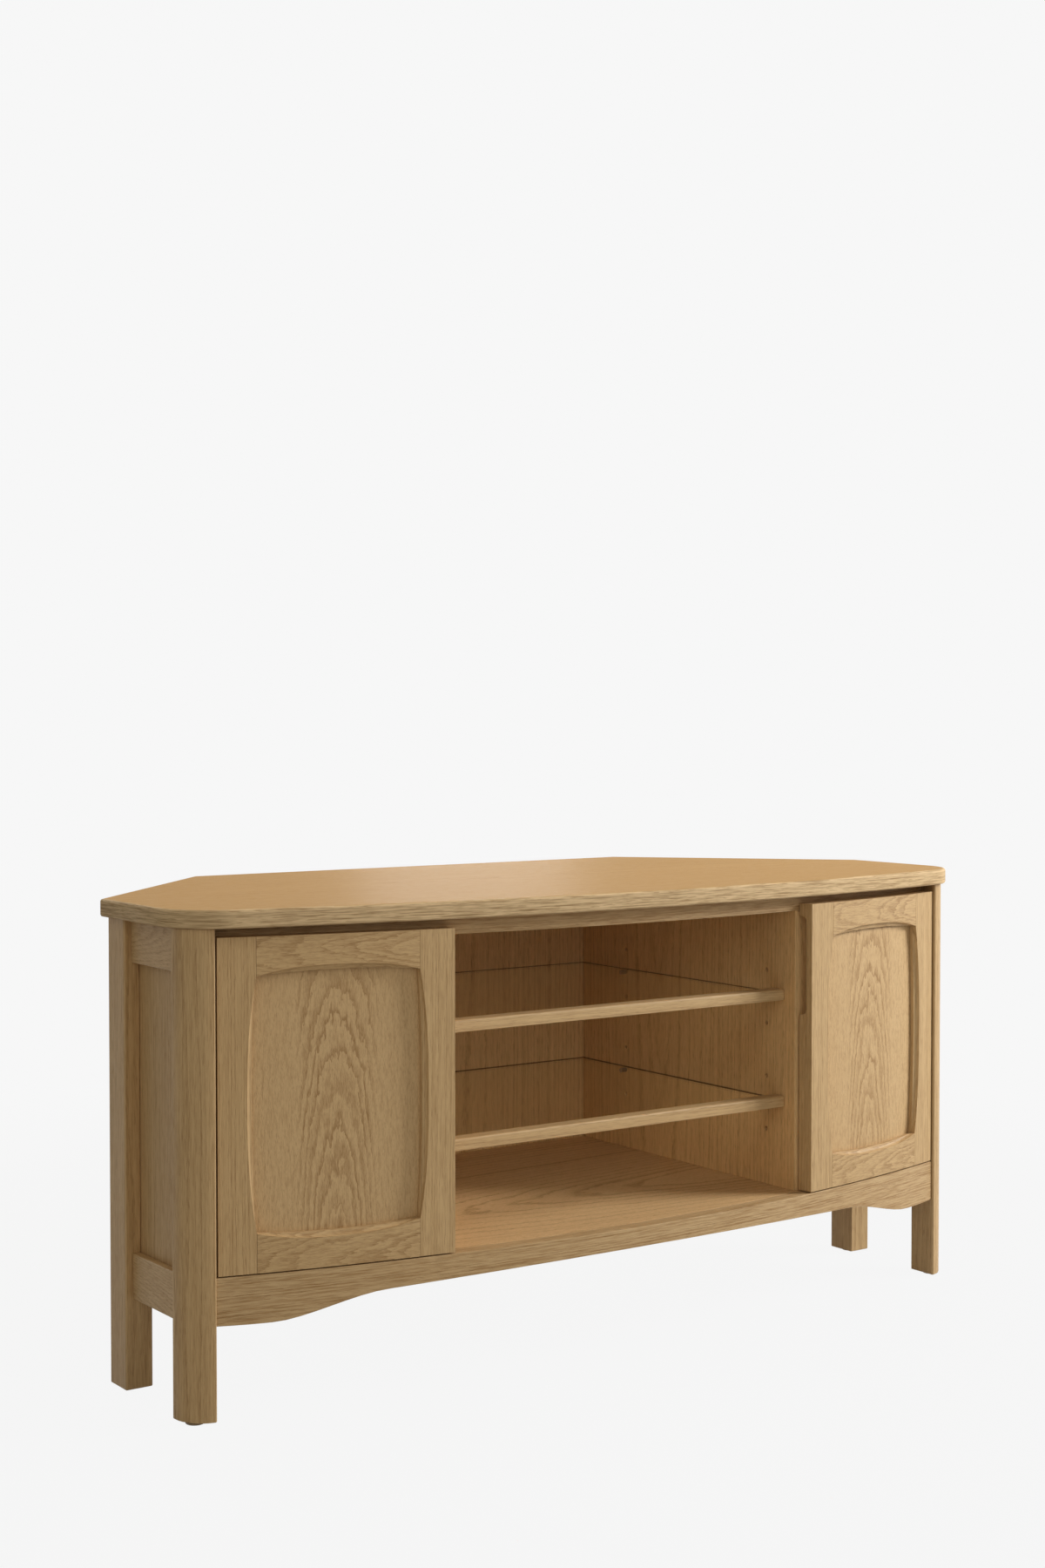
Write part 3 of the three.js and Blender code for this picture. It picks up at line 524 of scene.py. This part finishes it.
smoothLook = {**board, "edge": 0.0002, "steps": 1, "sharp": 50}
fittings = {"hinge_cup": hingeSteel, "hinge_arm": hingeSteel, "shelf_pin": pinSteel,
            "glide": glidePlastic}
for node in nodes:
    for ending, material in fittings.items():
        if node.endswith(ending):
            finishPiece(node, smoothLook, material)
# steep faces of the shelves get the painted dark edge line
shelfLook = {**board, "edge": 0.0006, "grain": "flat", "rim": 0.2}
for node in ("upper_shelf_glass", "lower_shelf_glass"):
    finishPiece(node, shelfLook, shelfGlass)


# countersunk screws hold the hinges: two through each flange and two through each plate
screwLook = {
    "radius": 0.0032, "rise": 0.0006, "sides": 20, "taper": 0.78, "topFrom": 0.49,
    "slotHalf": 0.0004, "slotReach": 0.0017, "slotDepth": 0.0005,
    "flangeStep": 0.0172, "flangeDepth": 0.0205,
    "plateStep": 0.0145, "plateBack": 0.018, "plateThickness": 0.003,
}


def screwHead(look):
    bm = bmesh.new()
    bmesh.ops.create_cone(bm, cap_ends=True, segments=look["sides"], radius1=look["radius"],
                          radius2=look["radius"] * look["taper"], depth=look["rise"])
    cap = max(bm.faces, key=lambda f: f.calc_center_median().z)
    parts = list(cap.verts) + list(cap.edges) + [cap]
    for axis in (Vector((1, 0, 0)), Vector((0, 1, 0))):
        for reach in (-look["slotReach"], -look["slotHalf"], look["slotHalf"], look["slotReach"]):
            split = bmesh.ops.bisect_plane(bm, geom=parts, plane_co=axis * reach, plane_no=axis)
            parts = split["geom"]
    cross = []
    for face in bm.faces:
        middle = face.calc_center_median()
        near, far = sorted((abs(middle.x), abs(middle.y)))
        onTop = middle.z > look["rise"] * look["topFrom"]
        if onTop and near < look["slotHalf"] and far < look["slotReach"]:
            cross.append(face)
    sunk = bmesh.ops.extrude_face_region(bm, geom=cross)
    bmesh.ops.delete(bm, geom=cross, context="FACES_ONLY")
    slotFloor = [part for part in sunk["geom"] if isinstance(part, bmesh.types.BMVert)]
    bmesh.ops.translate(bm, verts=slotFloor, vec=(0, 0, -look["slotDepth"]))
    mesh = bpy.data.meshes.new("screw_head")
    bm.to_mesh(mesh)
    bm.free()
    return mesh


def screws(name, places, body, head):
    bm = bmesh.new()
    for place, outward in places:
        before = len(bm.verts)
        bm.from_mesh(head)
        bm.verts.ensure_lookup_table()
        turn = outward.to_track_quat("Z", "Y").to_matrix().to_4x4()
        matrix = Matrix.Translation(place) @ turn
        bmesh.ops.transform(bm, matrix=matrix, verts=bm.verts[before:])
    mesh = bpy.data.meshes.new(name)
    bm.to_mesh(mesh)
    bm.free()
    mesh.materials.append(hingeSteel)
    piece = bpy.data.objects.new(name, mesh)
    scene.collection.objects.link(piece)
    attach(piece, body)


head = screwHead(screwLook)
halfRise = screwLook["rise"] / 2
carcassPlaces = []
for side, way in (("left", -1), ("right", 1)):
    doorPlaces = []
    for level in ("upper", "lower"):
        cupLow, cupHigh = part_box(side + "_door_" + level + "_hinge_cup")
        cup = (cupLow + cupHigh) / 2
        turned = math.atan2(cup.x, faceRadius - (cup.y - faceY))
        depth = faceRadius - screwLook["flangeDepth"] - halfRise
        inward = Vector((-math.sin(turned), math.cos(turned), 0))
        armLow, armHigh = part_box(side + "_" + level + "_hinge_arm")
        armZ = (armLow.z + armHigh.z) / 2
        plateX = max(abs(armLow.x), abs(armHigh.x)) - screwLook["plateThickness"] - halfRise
        plateY = armHigh.y - screwLook["plateBack"]
        for sign in (-1, 1):
            centre = Vector((0, faceY + faceRadius, cup.z + sign * screwLook["flangeStep"]))
            doorPlaces.append((centre - inward * depth, inward))
            plate = Vector((way * plateX, plateY, armZ + sign * screwLook["plateStep"]))
            carcassPlaces.append((plate, Vector((-way, 0, 0))))
    screws(side + "_door_screws", doorPlaces, side + "_door", head)
screws("carcass_screws", carcassPlaces, "carcass", head)
print("glass, metal and plastic finished")


# the floor looks pale and gives back less light than that. Its shadow fades out from near to far
stage = {
    "radius": 30, "sides": 96, "drop": 0.0003,
    "pale": (0.93, 0.93, 0.93, 1), "bounce": (0.47, 0.47, 0.46, 1),
    "near": 0.9, "far": 1.8, "lift": 0.975, "ambient": (1.0, 0.97, 0.89, 1), "level": 0.13,
}
bm = bmesh.new()
bmesh.ops.create_circle(bm, cap_ends=True, segments=stage["sides"], radius=stage["radius"])
bmesh.ops.translate(bm, verts=bm.verts, vec=(0, 0, -stage["drop"]))
floorMesh = bpy.data.meshes.new("studio_floor")
bm.to_mesh(floorMesh)
bm.free()
studioFloor = bpy.data.objects.new("studio_floor", floorMesh)
scene.collection.objects.link(studioFloor)
s = Shader(bpy.data.materials.new("studio_floor"))
place = s.add("ShaderNodeTexCoord", output="Object")
distance = s.add("ShaderNodeVectorMath", {"operation": "LENGTH"}, {0: place}, output="Value")
lift = s.between(distance, stage["near"], stage["far"]) * (1 - stage["lift"]) + stage["lift"]
matt = s.add("ShaderNodeBsdfDiffuse", {}, {"Color": stage["bounce"]})
glow = s.add("ShaderNodeEmission", {}, {"Color": stage["pale"], "Strength": 1.0})
mixed = s.add("ShaderNodeMixShader", {}, {0: lift * s.seenDirectly(), 1: matt, 2: glow})
s.add("ShaderNodeOutputMaterial", {}, {"Surface": mixed})
floorMesh.materials.append(s.owner)

scene.world = bpy.data.worlds.new("studio")
s = Shader(scene.world)
ambient = s.add("ShaderNodeBackground", {}, {"Color": stage["ambient"], "Strength": stage["level"]})
shown = s.add("ShaderNodeBackground", {}, {"Color": stage["pale"], "Strength": 1.0})
mixed = s.add("ShaderNodeMixShader", {}, {0: s.seenDirectly(), 1: ambient, 2: shown})
s.add("ShaderNodeOutputWorld", {}, {"Surface": mixed})


def lamp(name, look):
    data = bpy.data.lights.new(name, "AREA")
    data.shape = "RECTANGLE"
    data.size, data.size_y = look["size"]
    data.energy = look["power"]
    data.color = look["colour"]
    lampObject = bpy.data.objects.new(name, data)
    lampObject.location = look["place"]
    aim = Vector(look["aim"]) - Vector(look["place"])
    lampObject.rotation_euler = aim.to_track_quat("-Z", "Y").to_euler()
    scene.collection.objects.link(lampObject)


lamp("key", {"place": (2.4, -1.45, 1.6), "aim": (0.1, -0.1, 0.3), "size": (1.0, 1.0),
             "power": 90, "colour": (0.94, 0.97, 1.0)})
lamp("front", {"place": (-0.2, -3.2, 1.5), "aim": (0, 0, 0.3), "size": (1.0, 1.0),
               "power": 6, "colour": (1.0, 0.97, 0.90)})
lamp("over", {"place": (0, 0.2, 2.8), "aim": (0, 0, 0.3), "size": (1.6, 1.6),
              "power": 23, "colour": (1.0, 0.97, 0.86)})
lamp("side", {"place": (-2.4, -2.3, 1.8), "aim": (0, 0, 0.3), "size": (3.0, 3.0),
              "power": 22, "colour": (1.0, 0.96, 0.83)})
lamp("back", {"place": (-0.8, 2.8, 1.6), "aim": (0, 0, 0.3), "size": (1.6, 1.6),
              "power": 14, "colour": (1.0, 0.97, 0.92)})
lamp("sheen", {"place": (1.42, 2.25, 0.95), "aim": (0, 0, 0.5), "size": (0.5, 0.35),
               "power": 3.6, "colour": (1.0, 0.98, 0.95)})
scene.view_settings.view_transform = "Standard"
print("stage lit")
